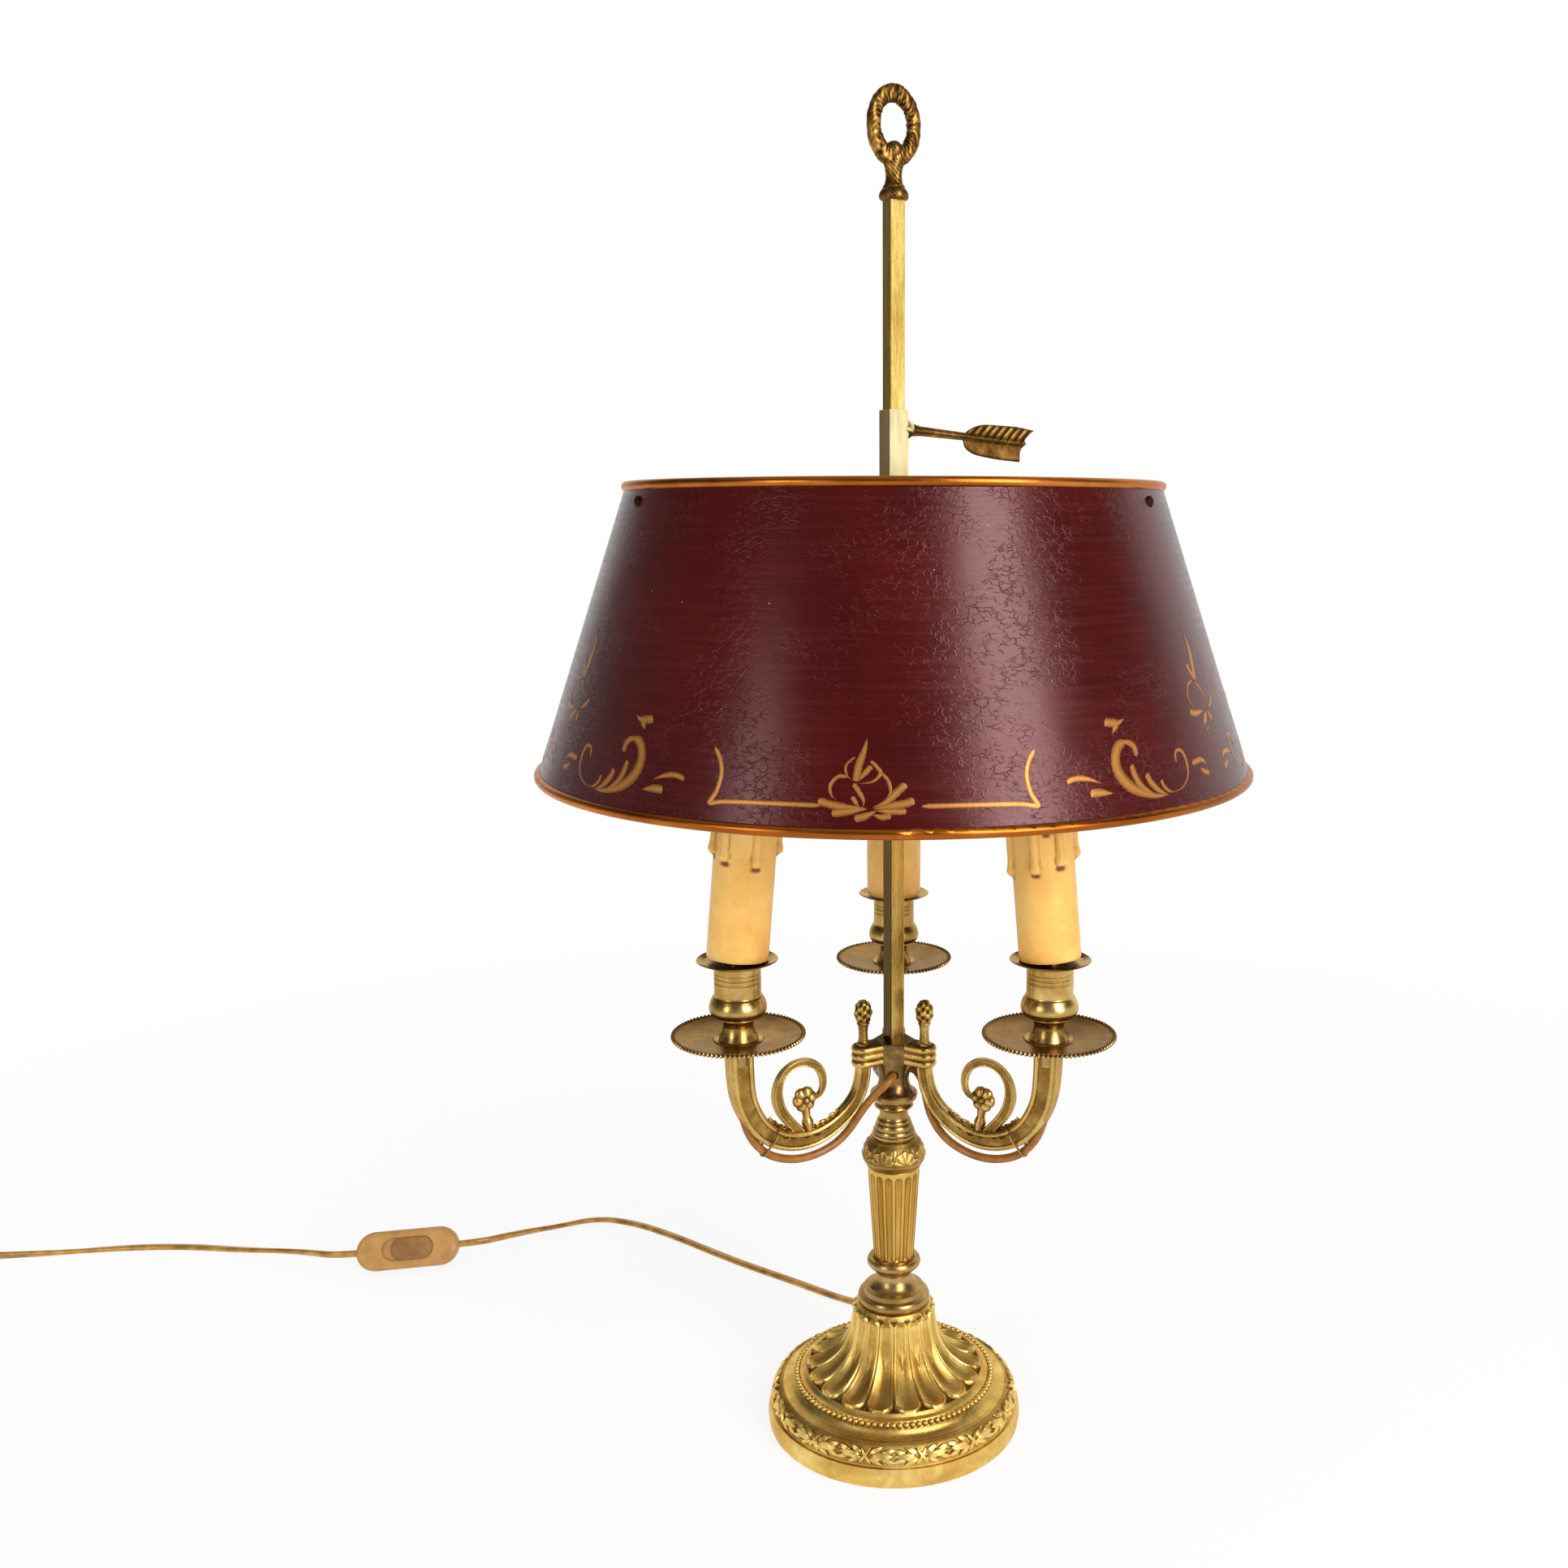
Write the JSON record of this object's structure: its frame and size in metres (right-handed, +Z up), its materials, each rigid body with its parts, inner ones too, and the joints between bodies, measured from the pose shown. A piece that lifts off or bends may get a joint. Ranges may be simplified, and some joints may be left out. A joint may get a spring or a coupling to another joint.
{
  "type": "bouillotte lamp",
  "caption": "Table lamp with a round cast base, turned column, scrolled arms with candle bulbs, and a painted metal shade that slides on a square rod and locks with an arrow key.",
  "frame": {"origin": "middle of the underside of the round base, on the table", "axes": "+Z up the column, -Y towards the front, +X to the right; one arm points straight back along +Y"},
  "size_m": [0.8314, 0.3993, 0.6735],
  "materials": {
    "base_brass": "cast brass with gilt varnish, toned brown in the hollows",
    "column_brass": "turned and polished brass, lightly toned",
    "arm_brass": "cast brass, polished on the high parts",
    "pan_bronze": "brass toned dark bronze",
    "rod_brass": "drawn brass, satin",
    "key_brass": "cast brass, satin",
    "rim_copper": "copper-gold lacquered metal",
    "shade_paint": "oxblood lacquer with gilt ornament",
    "candle_wax": "candle sleeve in aged ivory with drips",
    "holder_plastic": "moulded lamp holder",
    "bulb_glass": "clear candle bulb",
    "cord_sheath": "gold twin flex",
    "arm_wire_sheath": "brown sleeved wire",
    "switch_plastic": "gold-brown moulded plastic",
    "slider_plastic": "brown moulded plastic",
    "dark_plastic": "dark moulded plastic",
    "pin_metal": "nickel-plated brass",
    "steel": "zinc-plated steel",
    "felt": "green felt"
  },
  "bodies": {
    "frame": {"base_casting": "base_brass", "base_felt": "felt", "base_nut": "steel", "threaded_tube": "steel", "spool": "column_brass", "fluted_shaft": "column_brass", "leaf_cap": "column_brass", "turned_collar": "column_brass", "wire_neck": "column_brass", "junction_block": "dark_plastic", "arm_hub": "column_brass", "holder_nipples": "steel", "wire_ties": "column_brass", "square_rod": "rod_brass", "ring_finial": "rod_brass", "cord_bushing": "dark_plastic", "inner_cable": "cord_sheath", "cord_lead": "cord_sheath", "cord_tail": "cord_sheath", "cord_coil": "cord_sheath", "cord_end": "cord_sheath", "switch_top": "switch_plastic", "switch_bottom": "switch_plastic", "plug_body": "switch_plastic", "plug_pins": "pin_metal", "arm_left": "arm_brass", "drip_pan_left": "pan_bronze", "candle_cup_left": "column_brass", "bobeche_left": "pan_bronze", "candle_sleeve_left": "candle_wax", "lamp_holder_left": "holder_plastic", "bulb_cap_left": "pin_metal", "bulb_glass_left": "bulb_glass", "arm_wire_left": "arm_wire_sheath", "arm_right": "arm_brass", "drip_pan_right": "pan_bronze", "candle_cup_right": "column_brass", "bobeche_right": "pan_bronze", "candle_sleeve_right": "candle_wax", "lamp_holder_right": "holder_plastic", "bulb_cap_right": "pin_metal", "bulb_glass_right": "bulb_glass", "arm_wire_right": "arm_wire_sheath", "arm_rear": "arm_brass", "drip_pan_rear": "pan_bronze", "candle_cup_rear": "column_brass", "bobeche_rear": "pan_bronze", "candle_sleeve_rear": "candle_wax", "lamp_holder_rear": "holder_plastic", "bulb_cap_rear": "pin_metal", "bulb_glass_rear": "bulb_glass", "arm_wire_rear": "arm_wire_sheath"},
    "shade": {"shade_shell": "shade_paint", "top_rim": "rim_copper", "bottom_rim": "rim_copper", "shade_spider": "rod_brass", "shade_sleeve": "rod_brass", "shade_screws": "rod_brass"},
    "key": {"arrow_key": "key_brass"},
    "slider": {"switch_slider": "slider_plastic"}
  },
  "joints": [
    {"name": "shade_slide", "type": "slide", "parent": "frame", "child": "shade", "axis": [0, 0, 1], "range_m": [-0.035, 0.094]},
    {"name": "key_turn", "type": "hinge", "parent": "shade", "child": "key", "pos_m": [0, 0, 0.5176], "axis": [0.8636, 0.4986, -0.075], "range_deg": [0, 360]},
    {"name": "switch_slide", "type": "slide", "parent": "frame", "child": "slider", "axis": [-0.9781, -0.2079, 0], "range_m": [0, 0.0062]}
  ]
}
